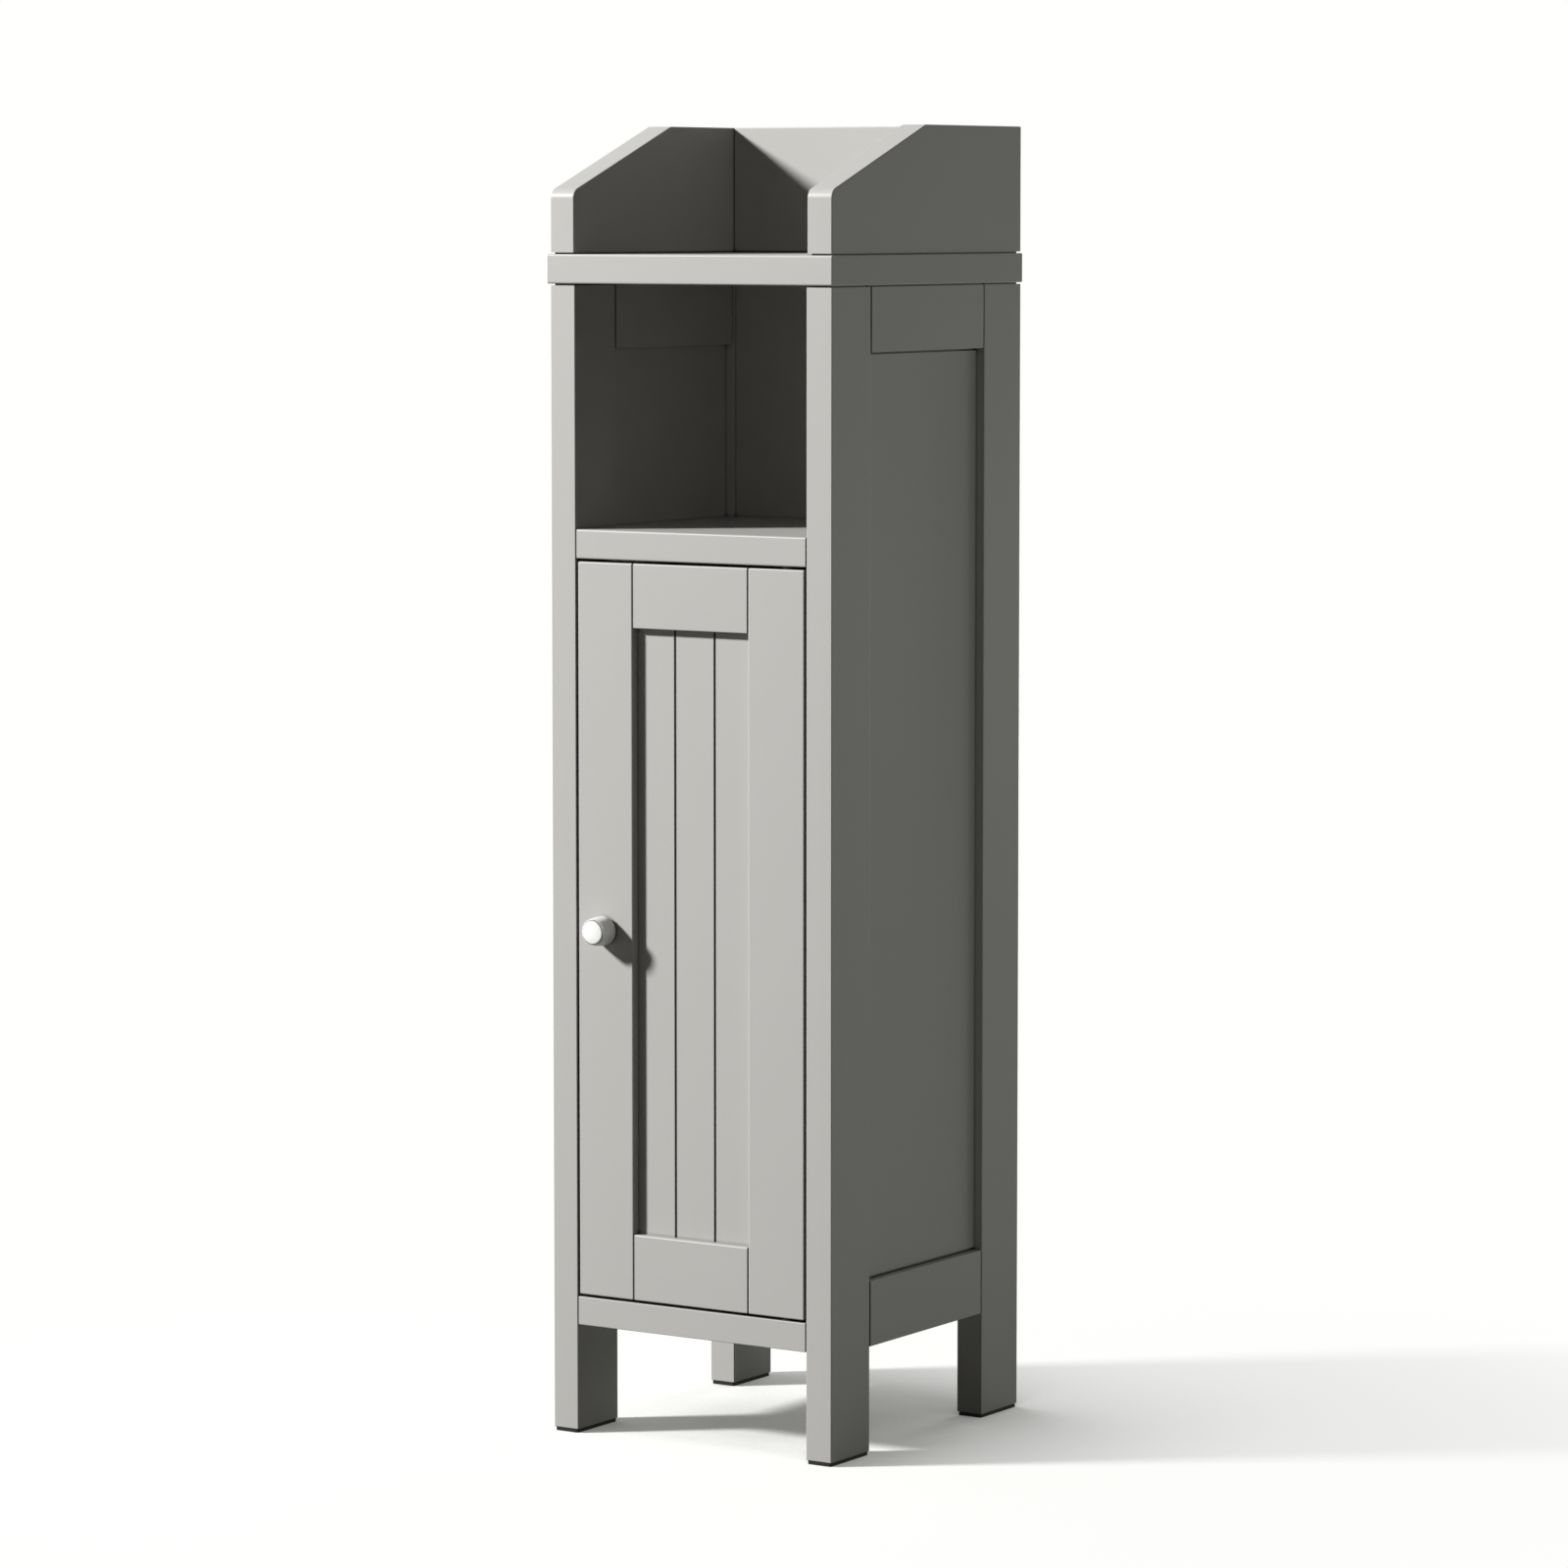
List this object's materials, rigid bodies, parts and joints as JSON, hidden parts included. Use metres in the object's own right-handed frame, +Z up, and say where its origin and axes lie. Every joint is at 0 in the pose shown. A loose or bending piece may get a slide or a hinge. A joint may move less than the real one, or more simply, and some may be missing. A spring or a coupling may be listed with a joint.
{
  "type": "toilet roll storage cabinet",
  "caption": "Slim bathroom cabinet on four legs: a panelled door cupboard below, an open compartment for toilet rolls above it and a top tray with sloping side guards.",
  "frame": {"origin": "on the floor, in the middle of the overall box, which runs from the knob's face to the rear plane", "axes": "+Z up, +Y towards the wall behind the cabinet, +X to the right seen from the front"},
  "size_m": [0.3036, 0.344, 1.1874],
  "materials": {
    "painted_wood": "satin sprayed paint, warm mid grey",
    "knob_white": "white, smooth, softly glossy",
    "foot_pad": "black glide pad",
    "zinc_steel": "bright zinc plate",
    "pin_steel": "black oxide on steel",
    "cam_alloy": "die-cast zinc alloy, dull",
    "beech": "bare beech, fluted dowel stock",
    "nylon": "black nylon",
    "catch_plastic": "white moulded plastic",
    "magnet": "dark ferrite block"
  },
  "bodies": {
    "cabinet": {"front_left_leg": "painted_wood", "front_right_leg": "painted_wood", "back_left_leg": "painted_wood", "back_right_leg": "painted_wood", "left_top_rail": "painted_wood", "right_top_rail": "painted_wood", "left_bottom_rail": "painted_wood", "right_bottom_rail": "painted_wood", "left_side_panel": "painted_wood", "right_side_panel": "painted_wood", "back_panel": "painted_wood", "top_board": "painted_wood", "fixed_shelf": "painted_wood", "bottom_board": "painted_wood", "loose_shelf": "painted_wood", "left_cleat": "painted_wood", "right_cleat": "painted_wood", "left_guard": "painted_wood", "right_guard": "painted_wood", "back_guard": "painted_wood", "front_left_pad": "foot_pad", "front_right_pad": "foot_pad", "back_left_pad": "foot_pad", "back_right_pad": "foot_pad", "pad_nails": "zinc_steel", "frame_dowels": "beech", "guard_dowels": "beech", "cam_locks": "cam_alloy", "cam_bolts": "zinc_steel", "top_screws": "zinc_steel", "back_panel_screws": "zinc_steel", "cleat_screws": "zinc_steel", "upper_bush": "nylon", "lower_bush": "nylon", "catch_body": "catch_plastic", "catch_magnet": "magnet", "catch_screws": "zinc_steel", "left_wall_bracket": "zinc_steel", "right_wall_bracket": "zinc_steel", "bracket_screws": "zinc_steel"},
    "door": {"door_left_stile": "painted_wood", "door_right_stile": "painted_wood", "door_top_rail": "painted_wood", "door_bottom_rail": "painted_wood", "door_left_board": "painted_wood", "door_middle_board": "painted_wood", "door_right_board": "painted_wood", "door_upper_pin": "pin_steel", "door_lower_pin": "pin_steel", "knob": "knob_white", "knob_screw": "zinc_steel", "strike_plate": "zinc_steel", "strike_screw": "zinc_steel"}
  },
  "joints": [
    {"name": "door_hinge", "type": "hinge", "parent": "cabinet", "child": "door", "pos_m": [0.0993, -0.141, 0.46255], "axis": [0, 0, 1], "range_deg": [0, 110]}
  ]
}
